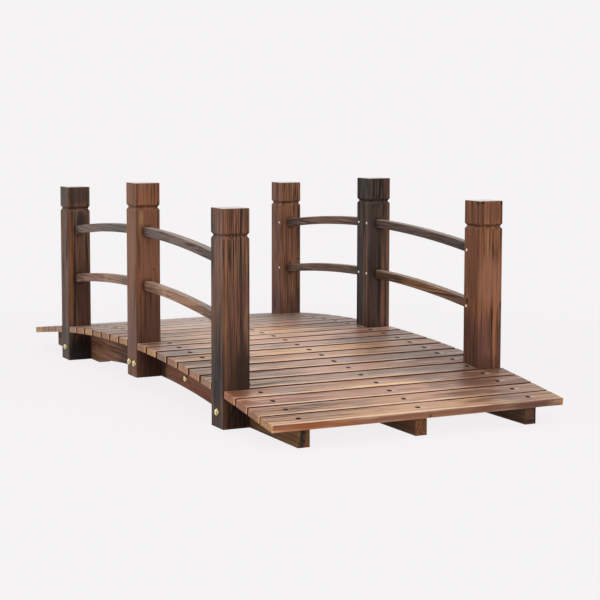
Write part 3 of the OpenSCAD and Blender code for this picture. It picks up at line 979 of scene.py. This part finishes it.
@dataclass
class Deck:
    """The planks of the deck, which lie on the beams' tops: an arc that runs on straight towards both ends."""

    arc_radius: float = 4600 * MM
    straight_from: float = 620 * MM
    plank_width: float = 54.5 * MM
    plank_thick: float = 14.7 * MM
    screw_line: float = 267.0
    near_lines: tuple[float, ...] = (-1.2, -0.6, 1.2, 0.6, 0.8)
    tones: tuple[Colour, ...] = tints(
        (174, 137, 110), (168, 131, 108), (163, 126, 108), (168, 128, 105), (158, 133, 118), (173, 139, 123),
        (162, 135, 119), (174, 140, 119), (190, 150, 124), (170, 143, 128), (188, 152, 134), (197, 158, 137),
        (202, 170, 145), (176, 141, 119), (160, 131, 116), (178, 147, 133))
    near_ends: tuple[Colour, ...] = tints((208, 150, 92), (200, 140, 102), (180, 112, 70), (206, 136, 80))
    ends: tuple[Colour, ...] = tints((204, 148, 108), (172, 120, 90), (174, 118, 78), (214, 160, 100),
                                     (196, 126, 72), (182, 142, 108), (196, 138, 96))
    # Painted shade of the gaps between planks.
    gap: Colour = tint(78, 26, 5)
    # Painted highlight and wear along a plank's near top edge.
    lip: Colour = tint(240, 206, 172)
    lip_end: Colour = tint(240, 178, 104)
    # Painted glint beside the deck screws.
    rubbed: Colour = tint(206, 196, 196)
    round_rings: int = 6
    far_ring_width: float = 1.55
    marks: dict[int, tuple[Row, ...]] = field(default_factory=lambda: DECK_MARKS)
    line_drift: float = 1.5
    screw_drifts: Pair = (0.6, 1.8)
    far_level: Pair = (1.16, 1.34)
    far_warmth: Pair = (-0.24, -0.13)
    pith_across: Pair = (-60, 60)
    pith_below: Pair = (40, 110)
    first_seed: float = 51.0
    tone_draws: int = 70
    screw_draws: int = 400

    def names(self) -> list[str]:
        """The planks' names from the near end to the far end."""
        return nodes_with("plank_")

    def turn(self, name: str) -> Matrix:
        """Turn that brings a plank's own axes upright, with its grain along the third.

        Args:
            name: The plank's name.

        Returns:
            The turn.
        """
        middle, _ = middle_of(name)
        on_arc = math.asin(abs(middle.x) / (self.arc_radius + self.plank_thick / 2))
        tilt = math.copysign(min(on_arc, math.asin(self.straight_from / self.arc_radius)), middle.x)
        return Euler((math.pi / 2, 0, 0)).to_matrix() @ Euler((0, -tilt, 0)).to_matrix()

    def screws(self, number: int) -> tuple[Pair, ...]:
        """Places of a plank's screws.

        Args:
            number: The plank's number from the near end.

        Returns:
            Three places in the plank's own millimetres, across and along it.
        """
        chance = random.Random(self.screw_draws + number)
        known = number < len(self.near_lines)
        line = self.near_lines[number] if known else chance.uniform(-self.line_drift, self.line_drift)
        aside, along = self.screw_drifts
        return tuple((line + chance.uniform(-aside, aside), place + chance.uniform(-along, along))
                     for place in (-self.screw_line, 0.0, self.screw_line))

    def wear(self, number: int, tone: Colour) -> tuple[Mark, ...]:
        """Painted light and marks of a plank: painted sheen in the middle, painted highlight and wear on its near
        edge, painted glints by its screws, and painted reflection of the dark posts to the right.

        Args:
            number: The plank's number from the near end.
            tone: The plank's colour.

        Returns:
            Those marks, with the plank's own among them.
        """
        # Painted glints beside the middle and right screws.
        glints = tuple(Mark((across + 0.5, -7.4, along + 11), (3.6, 5, 9), self.rubbed, 0.6)
                       for across, along in self.screws(number)[1:])
        # Painted sheen in the middle, painted reflection of the dark posts to the right, then the painted highlight
        # and wear along the near edge and a pale line down the near corner of the left end.
        return (Mark((0, 0, -30), (90, 12, 190), toned(tone, 1.6), 0.75),
                Mark((0, 0, 255), (90, 12, 150), toned(tone, 0.46, 0.06), 0.78),
                Mark((22.5, -8, -85), (5, 4, 330), self.lip, 0.88),
                Mark((25.6, 1, -337), (3.4, 9, 4), self.lip_end, 0.85),
                *stains_and_light(self.marks.get(number, ())), *glints)

    def dress(self) -> None:
        """Gives every plank its own board."""
        names = self.names()
        for number, name in enumerate(names):
            chance = random.Random(self.tone_draws + number)
            middle, half = middle_of(name)
            tone = self.tones[number % len(self.tones)]
            if number >= len(self.tones):
                tone = toned(tone, chance.uniform(*self.far_level), chance.uniform(*self.far_warmth))
            board = Board(
                name, Lie(middle, self.turn(name)),
                (self.plank_width / 2 / MM, self.plank_thick / 2 / MM, half.y / MM),
                (chance.uniform(*self.pith_across), chance.uniform(*self.pith_below)), self.first_seed + number,
                marks=self.wear(number, tone), screws=self.screws(number),
                stain_width=1.0 if number < self.round_rings else self.far_ring_width,
                end=(self.near_ends[number] if number < len(self.near_ends)
                     else self.ends[number % len(self.ends)]),
                flank=self.gap if 0 < number < len(names) - 1 else None)
            timber = Timber.of_tone(tone, edge=self.gap, edge_wear=0.95, edge_reach=1.35, spread=1.12, fine=1.5,
                                    burn=-0.08, tinge=0.35, rough=0.36, ior=1.4)
            dress(timber, board)


class Drive(Enum):
    """Recess in the top of a fixing."""

    HEXAGON = "hexagon"
    CROSS = "cross"
    NONE = "none"


TINY = 1e-6  # keeps a division from meeting zero


def side_cosine(angle: float) -> float:
    """Cosine by which a circle's radius is divided to reach the side of the hexagon round it."""
    return math.cos((angle % (math.pi / 3)) - math.pi / 6)


def add(name: str, data: bpy.types.ID) -> bpy.types.Object:
    """Makes an object and links it to the scene.

    Args:
        name: The object's name.
        data: Its mesh, camera or lamp.

    Returns:
        The object.
    """
    made = bpy.data.objects.new(name, data)
    bpy.context.scene.collection.objects.link(made)
    return made


@dataclass(frozen=True)
class Head:
    """The shape of a fixing, turned about its own axis, one unit wide and one unit high.

    Its outline runs from the foot up as pairs of radius and height, and the rings numbered in hexagonal
    have six sides instead of being round.
    """

    name: str
    outline: tuple[Pair, ...]
    drive: Drive = Drive.NONE
    recess: float = 0.2
    sink: float = 0.5
    # Share of painted shade on the rim's lowest rings.
    rim: float = 0.0
    hexagonal: range = range(0)
    facets: int = 36
    rim_rings: int = 3
    slot: float = 0.34
    taper: float = 0.8
    sharp: float = math.radians(32)

    def recess_reach(self, angle: float) -> float:
        """Radius of the recess.

        Args:
            angle: The angle at which it is measured.

        Returns:
            The radius.
        """
        if self.drive is Drive.HEXAGON:
            return self.recess * math.cos(math.pi / 6) / side_cosine(angle)
        slot = self.recess * self.slot
        along, aside = abs(math.cos(angle)), abs(math.sin(angle))
        arms = ((along, aside), (aside, along))
        return max(min(self.recess / max(a, TINY), slot / max(b, TINY)) for a, b in arms)

    def loops(self) -> Iterator[list[Triple]]:
        """The head's rings of points.

        Returns:
            The rings from the foot up and inwards, and down into the recess.
        """
        angles = [2 * math.pi * step / self.facets for step in range(self.facets)]
        rings = [([radius / (side_cosine(angle) if number in self.hexagonal else 1) for angle in angles], height)
                 for number, (radius, height) in enumerate(self.outline)]
        if self.drive is not Drive.NONE:
            top = self.outline[-1][1]
            rings += [([share * self.recess_reach(angle) for angle in angles], height)
                      for share, height in ((1.0, top), (self.taper, top - self.sink))]
        for reaches, height in rings:
            yield [(reach * math.cos(angle), reach * math.sin(angle), height)
                   for reach, angle in zip(reaches, angles)]

    def build(self) -> bpy.types.Object:
        """Makes the head as an object of its own.

        Returns:
            The object, which is linked to the scene so that it can be instanced.
        """
        shape = bmesh.new()
        # The recess attribute carries painted shade: a share on the rim's lowest rings and all of it on the recess
        # floor.
        depth = shape.verts.layers.float.new("recess")
        loops = [[shape.verts.new(point) for point in loop] for loop in self.loops()]
        for share, shaded in ((self.rim, loops[:self.rim_rings]), (1.0, loops[len(self.outline) + 1:])):
            for point in (point for loop in shaded for point in loop):
                point[depth] = share
        for low, high in zip(loops, loops[1:]):
            for step in range(self.facets):
                after = (step + 1) % self.facets
                shape.faces.new((low[step], low[after], high[after], high[step]))
        shape.faces.new(loops[-1])
        shape.faces.new(reversed(loops[0]))
        for face in shape.faces:
            face.smooth = True
        mesh = bpy.data.meshes.new(f"head_{self.name}")
        shape.to_mesh(mesh)
        shape.free()
        mesh.set_sharp_from_angle(angle=self.sharp)
        return add(mesh.name, mesh)


@dataclass(frozen=True)
class Plating:
    """A coated metal with clouds and dusty spots, and painted shade in its recess, on its rim and on the side that
    looks to the near end.
    """

    name: str
    bright: Screen
    dull: Screen
    # Colour of the specks, and of the painted shade.
    dirt: Screen
    metal: float
    rough: float
    ior: float = 1.2
    # Share of painted shade on the side that looks to the near end.
    shade: float = 0.9

    def material(self) -> Material:
        """Clouds the clean plating, darkens its specks, and paints shade into its recess, onto its rim and onto the
        side that looks to the near end.

        Returns:
            The finished material.
        """
        maker = MaterialMaker(self.name)
        bright, dull, dirt = tints(self.bright, self.dull, self.dirt)
        place = maker.place()
        cloud = maker.noise(place, (4 * MM,) * 3, 3.0, detail=3)
        speck = maker.noise(place, (0.9 * MM,) * 3, 8.0)
        colour = maker.mix(cloud.rise(0.38, 0.62), bright, dull)
        colour = maker.mix(speck.rise(0.60, 0.70) * 0.35, colour, dirt)
        # Painted shade in the recess and on the rim.
        recess = Value(maker, maker.node("ShaderNodeAttribute", {"attribute_name": "recess"}).outputs["Fac"])
        colour = maker.mix(recess * 0.42, colour, toned(dirt, 0.5))
        # Painted shade on the side that looks to the near end.
        aside = maker.facing((1, 0, 0))
        shaded = aside.rise(0.38, 0.55) * (1 - aside.rise(0.7, 0.88) * 0.7) * self.shade
        colour = maker.mix(shaded, colour, dirt)
        rough = cloud * 0.16 + speck.rise(0.55, 0.7) * 0.25 + self.rough
        inputs = {"Roughness": rough, "Metallic": self.metal, "IOR": self.ior}
        return maker.surface(colour, inputs, speck, PLATING_RELIEF)


@dataclass(frozen=True)
class Place:
    """Where a fixing stands, in millimetres, and which way it looks."""

    at: Triple
    facing: Triple


@dataclass(frozen=True)
class FixingKind:
    """One kind of fixing: its shape, its true size in millimetres, its finish and its slot."""

    name: str
    head: Head
    diameter: float
    height: float
    finish: Plating
    slot: str


class FixingTree(TreeMaker):
    """Geometry nodes that stand a head on every point, turned to the point's own facing."""

    INPUTS = {"Head": "Object", "Head Diameter": "Float", "Head Height": "Float", "Spin": "Float", "Seed": "Int",
              "Finish": "Material"}

    def __init__(self) -> None:
        """Builds the tree with its named inputs."""
        self.group = bpy.data.node_groups.new("fixings", "GeometryNodeTree")
        super().__init__(self.group)
        face = self.group.interface
        face.new_socket("Geometry", in_out="INPUT", socket_type="NodeSocketGeometry")
        self.keys = {name: face.new_socket(name, in_out="INPUT", socket_type=f"NodeSocket{kind}").identifier
                     for name, kind in self.INPUTS.items()}
        face.new_socket("Geometry", in_out="OUTPUT", socket_type="NodeSocketGeometry")
        given = self.node("NodeGroupInput").outputs
        head = self.node("GeometryNodeObjectInfo", {"transform_space": "ORIGINAL"}, {"Object": given["Head"]})
        facing = self.node("GeometryNodeInputNamedAttribute", {"data_type": "FLOAT_VECTOR"}, {"Name": "facing"})
        aimed = self.node("FunctionNodeAlignRotationToVector", {"axis": "Z"}, {"Vector": facing.outputs[0]})
        turn = self.node("FunctionNodeRandomValue", {"data_type": "FLOAT"},
                         {"Max": given["Spin"], "Seed": given["Seed"]})
        spin = self.node("FunctionNodeAxisAngleToRotation", inputs={"Axis": (0, 0, 1), "Angle": turn.outputs[1]})
        turned = self.node("FunctionNodeRotateRotation", {"rotation_space": "LOCAL"},
                           {"Rotation": aimed.outputs[0], "Rotate By": spin.outputs[0]})
        wide, high = given["Head Diameter"], given["Head Height"]
        size = self.node("ShaderNodeCombineXYZ", inputs={0: wide, 1: wide, 2: high})
        stood = self.node("GeometryNodeInstanceOnPoints", inputs={
            "Points": given["Geometry"], "Instance": head.outputs["Geometry"],
            "Rotation": turned.outputs[0], "Scale": size.outputs[0]})
        real = self.node("GeometryNodeRealizeInstances", inputs={0: stood.outputs[0]})
        made = self.node("GeometryNodeSetMaterial",
                         inputs={"Geometry": real.outputs[0], "Material": given["Finish"]})
        self.node("NodeGroupOutput", inputs={0: made.outputs[0]})

    def stand(self, kind: FixingKind, places: Sequence[Place], finish: Material, seed: int) -> None:
        """Makes one piece of all the fixings of a kind.

        Args:
            kind: The kind of fixing.
            places: Where they stand.
            finish: Their material.
            seed: Picks how each is turned about its axis.
        """
        points = bpy.data.meshes.new(f"{kind.name}_points")
        points.from_pydata([Vector(place.at) * MM for place in places], [], [])
        facing = points.attributes.new("facing", "FLOAT_VECTOR", "POINT")
        for item, place in zip(facing.data, places):
            item.vector = place.facing
        carrier = add(f"{kind.name}_carrier", points)
        head = kind.head.build()
        nodes = carrier.modifiers.new("fixings", "NODES")
        nodes.node_group = self.group
        values = {"Head": head, "Head Diameter": kind.diameter * MM, "Head Height": kind.height * MM,
                  "Spin": 2 * math.pi, "Seed": seed, "Finish": finish}
        for name, value in values.items():
            nodes[self.keys[name]] = value
        graph = bpy.context.evaluated_depsgraph_get()
        mesh = bpy.data.meshes.new_from_object(carrier.evaluated_get(graph))
        carrier.modifiers.remove(nodes)
        for spare in (carrier, head):
            bpy.data.objects.remove(spare)
        mesh.name = kind.name
        if not mesh.materials:
            mesh.materials.append(finish)
        piece = add(kind.name, mesh)
        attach(piece, "root")
        log.info("%s: %d in place, %d faces", kind.name, len(places), len(mesh.polygons))


DOME = Head("dome", ((0.42, -0.12), (0.5, 0.0), (0.5, 0.14), (0.485, 0.34), (0.44, 0.6), (0.37, 0.82),
                     (0.29, 0.96), (0.25, 1.0)), Drive.HEXAGON, 0.17, 0.62, 0.35)
WOOD_SCREW = Head("wood_screw", ((0.4, -0.5), (0.5, 0.0), (0.49, 0.35), (0.42, 0.75), (0.32, 1.0)),
                  Drive.CROSS, 0.24, 0.9)
DECK_SCREW = Head("deck_screw", ((0.34, -2.0), (0.48, 0.2), (0.5, 0.55), (0.49, 0.9), (0.44, 1.0)),
                  Drive.CROSS, 0.3, 1.9)
NUT = Head("nut", ((0.5, -0.02), (0.5, 0.10), (0.49, 0.13), (0.33, 0.13), (0.33, 0.16), (0.345, 0.19),
                   (0.345, 0.56), (0.33, 0.60), (0.17, 0.60), (0.17, 0.95), (0.15, 1.0)), hexagonal=range(4, 8))

BRASS = Plating("yellow_plating", (255, 250, 196), (250, 238, 168), (92, 74, 34), 1.0, 0.24)
PALE = Plating("pale_plating", (255, 252, 238), (250, 242, 214), (150, 132, 88), 0.25, 0.22, shade=0.3)
STEEL = Plating("blackened_steel", (40, 33, 30), (28, 23, 22), (16, 13, 12), 0.0, 0.8, 1.04)


@dataclass
class Fixings:
    """Bolts with their nuts, the rails' brass screws and the deck's blackened screws."""

    deck: Deck
    post_face: float = 336.55
    beam_face: float = 276.55
    beam_thick: float = 26.0
    splice_thick: float = 24.0
    end_post: float = 498.0
    mid_bolt: float = 16.5
    center_bolt: float = 60.0
    bolt_lift: float = 32.0
    mid_post_lift: float = 30.7
    beam_bolts: Pair = (-174.5, 183.5)
    bolt_height: float = 49.0
    end_screws: Triple = (477.5, 341.2, 216.2)
    mid_screws: Triple = (20.2, 371.8, 246.2)
    deck_screw_sunk: float = 0.35
    first_seed: int = 5

    bolt: FixingKind = FixingKind("bolt_heads", DOME, 14.4, 4.8, BRASS, "brass_fixings")
    nut: FixingKind = FixingKind("nuts_and_washers", NUT, 18.0, 10.5, BRASS, "brass_fixings")
    rail_screw: FixingKind = FixingKind("rail_screws", WOOD_SCREW, 6.4, 1.3, PALE, "brass_fixings")
    deck_screw: FixingKind = FixingKind("deck_screws", DECK_SCREW, 8.4, 0.6, STEEL, "steel_fixings")

    def bolts(self) -> Iterator[tuple[Place, Place]]:
        """The bolts of the posts and beams.

        Returns:
            The place of each bolt's head and of its nut on the hidden inner face.
        """
        behind = self.beam_face - self.beam_thick
        lapped = behind - self.splice_thick
        mid_lift = self.mid_post_lift + self.bolt_lift
        for side in (-1, 1):
            rows = [(end * self.end_post, self.bolt_lift, self.post_face, behind) for end in (-1, 1)]
            rows += [(end * self.mid_bolt, mid_lift, self.post_face, lapped) for end in (-1, 1)]
            rows += [(x, self.bolt_height, self.beam_face, lapped) for x in self.beam_bolts]
            for x, z, outer, inner in rows:
                yield Place((x, side * outer, z), (0, side, 0)), Place((x, side * inner, z), (0, -side, 0))
        half = self.beam_thick / 2
        for end, beam_bolt in zip((-1, 1), self.beam_bolts):
            for x, z in ((self.center_bolt * end, mid_lift), (beam_bolt, self.bolt_height)):
                yield Place((x, -half, z), (0, -1, 0)), Place((x, half + self.splice_thick, z), (0, 1, 0))

    def rail_screw_places(self) -> Iterator[Place]:
        """Two brass screws for each end of a rail's two levels.

        Returns:
            Their places on the posts' walkway faces.
        """
        for side in (-1, 1):
            for end in (-1, 1):
                for x, *heights in (self.end_screws, self.mid_screws):
                    for z in heights:
                        yield Place((end * x, side * self.beam_face, z), (0, -side, 0))

    def deck_screw_places(self) -> Iterator[Place]:
        """Three screws in every plank.

        Returns:
            Their places, flush with its top.
        """
        for number, name in enumerate(self.deck.names()):
            middle, _ = middle_of(name)
            back = self.deck.turn(name).transposed()
            up = back @ Vector((0, 1, 0))
            up = up if up.z > 0 else -up
            for across, along in self.deck.screws(number):
                flat = back @ Vector((across, 0, along))
                at = middle / MM + flat + up * (self.deck.plank_thick / 2 / MM - self.deck_screw_sunk)
                yield Place(tuple(at), tuple(up))

    def build(self) -> None:
        """Makes every kind of fixing."""
        finishes = {plating: plating.material() for plating in (BRASS, PALE, STEEL)}
        tree = FixingTree()
        heads, nuts = zip(*self.bolts())
        rows = ((self.bolt, heads), (self.nut, nuts), (self.rail_screw, list(self.rail_screw_places())),
                (self.deck_screw, list(self.deck_screw_places())))
        for seed, (kind, places) in enumerate(rows, start=self.first_seed):
            tree.stand(kind, places, finishes[kind.finish], seed)


@dataclass
class PhotoCamera:
    """The camera that took the picture, as fitted to the outlines of the posts, rails, deck and feet."""

    azimuth: float = 64.088
    elevation: float = 5.328
    roll: float = 0.035
    place: Triple = (3398.122, -1596.083, 646.019)
    focal_pixels: float = 1558.832
    centre_pixels: Pair = (282.733, 257.344)
    picture_pixels: float = 600.0
    sensor: float = 36.0
    clip_end: float = 60.0

    def build(self) -> None:
        """Makes the camera and gives it to the scene."""
        turn, lift, roll = (math.radians(angle) for angle in (self.azimuth, self.elevation, self.roll))
        back = Vector((math.sin(turn) * math.cos(lift), -math.cos(turn) * math.cos(lift), math.sin(lift)))
        right = Vector((math.cos(turn), math.sin(turn), 0))
        up = back.cross(right)
        level = math.cos(roll) * right + math.sin(roll) * up
        top = math.cos(roll) * up - math.sin(roll) * right
        data = bpy.data.cameras.new("photo_camera")
        data.sensor_width = self.sensor
        data.lens = self.focal_pixels / self.picture_pixels * self.sensor
        data.shift_x = 0.5 - self.centre_pixels[0] / self.picture_pixels
        data.shift_y = self.centre_pixels[1] / self.picture_pixels - 0.5
        data.clip_end = self.clip_end
        camera = add("photo_camera", data)
        turned = Matrix((level, top, back)).transposed().to_4x4()
        camera.matrix_world = Matrix.Translation(Vector(self.place) * MM) @ turned
        bpy.context.scene.camera = camera


@dataclass(frozen=True)
class SoftBox:
    """One soft rectangular lamp."""

    name: str
    place: Triple
    aim: Triple
    size: Pair
    watts: float

    def build(self) -> None:
        """Hangs the lamp, turned towards what it lights."""
        data = bpy.data.lights.new(self.name, "AREA")
        data.shape = "RECTANGLE"
        data.size, data.size_y = self.size
        data.energy = self.watts
        lamp = add(self.name, data)
        lamp.location = self.place
        lamp.rotation_euler = (Vector(self.aim) - Vector(self.place)).to_track_quat("-Z", "Y").to_euler()


@dataclass
class Studio:
    """Plain pale floor, pale surroundings and soft lamps."""

    backdrop: Colour = tint(245, 243, 244)
    floor_half: float = 12.0
    shadow_share: float = 0.07
    shadow_reach: Pair = (0.9, 1.9)
    ambient: float = 0.42
    lamps: tuple[SoftBox, ...] = (
        SoftBox("overhead", (0.6, -0.3, 3.2), (0, 0, 0), (3.4, 3.4), 52),
        SoftBox("front", (3.8, -0.4, 1.7), (0, 0, 0.2), (2.4, 2.0), 42),
        SoftBox("left", (0.2, -3.6, 1.5), (0, 0, 0.2), (3.0, 2.0), 22))

    def floor_material(self) -> Material:
        """Matt pale paint that shows a soft shadow near the bridge and fades into the backdrop.

        Returns:
            The finished material.
        """
        maker = MaterialMaker("floor_paint")
        far = maker.distance(maker.place(), (0, 0, 0), (1, 1, 1)).rise(*self.shadow_reach)
        plain = maker.seen() * (1 - (1 - far) * self.shadow_share)
        lit = maker.node("ShaderNodeBsdfDiffuse", inputs={"Color": self.backdrop})
        glow = maker.node("ShaderNodeEmission", inputs={"Color": self.backdrop, "Strength": 1.0})
        mixed = maker.node("ShaderNodeMixShader", inputs={0: plain, 1: lit.outputs[0], 2: glow.outputs[0]})
        maker.node("ShaderNodeOutputMaterial", inputs={"Surface": mixed.outputs[0]})
        return maker.material

    def build_floor(self) -> None:
        """Lays the floor."""
        mesh = bpy.data.meshes.new("floor")
        corners = ((-1, -1), (1, -1), (1, 1), (-1, 1))
        mesh.from_pydata([(x * self.floor_half, y * self.floor_half, 0.0) for x, y in corners], [], [(0, 1, 2, 3)])
        mesh.materials.append(self.floor_material())
        floor = add("floor", mesh)
        floor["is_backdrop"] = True

    def build_world(self) -> None:
        """Surrounds the bridge with even light, and with the backdrop's colour where it is seen."""
        world = bpy.data.worlds.new("surroundings")
        world.use_nodes = True
        bpy.context.scene.world = world
        maker = TreeMaker(world.node_tree)
        seen = maker.seen()
        sky = maker.node("ShaderNodeBackground",
                         inputs={"Color": self.backdrop, "Strength": seen + (1 - seen) * self.ambient})
        maker.node("ShaderNodeOutputWorld", inputs={"Surface": sky.outputs[0]})

    def build(self) -> None:
        """Builds the floor, the world and the lamps."""
        self.build_floor()
        self.build_world()
        for lamp in self.lamps:
            lamp.build()


def write_sizes() -> None:
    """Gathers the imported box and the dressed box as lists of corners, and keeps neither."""
    boxes = {"cad": CAD_BOX, "visual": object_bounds()}
    {name: [list(corner) for corner in box] for name, box in boxes.items()}


def main() -> None:
    """Builds the camera, the studio and every piece of the bridge in order."""
    logging.basicConfig(level=logging.INFO, format="%(message)s")
    PhotoCamera().build()
    Studio().build()
    deck = Deck()
    for part in (Posts(), Rails(), Beams(), deck):
        part.dress()
    Fixings(deck).build()
    bpy.context.scene.view_settings.view_transform = "Standard"
    write_sizes()


if __name__ == "__main__":
    main()
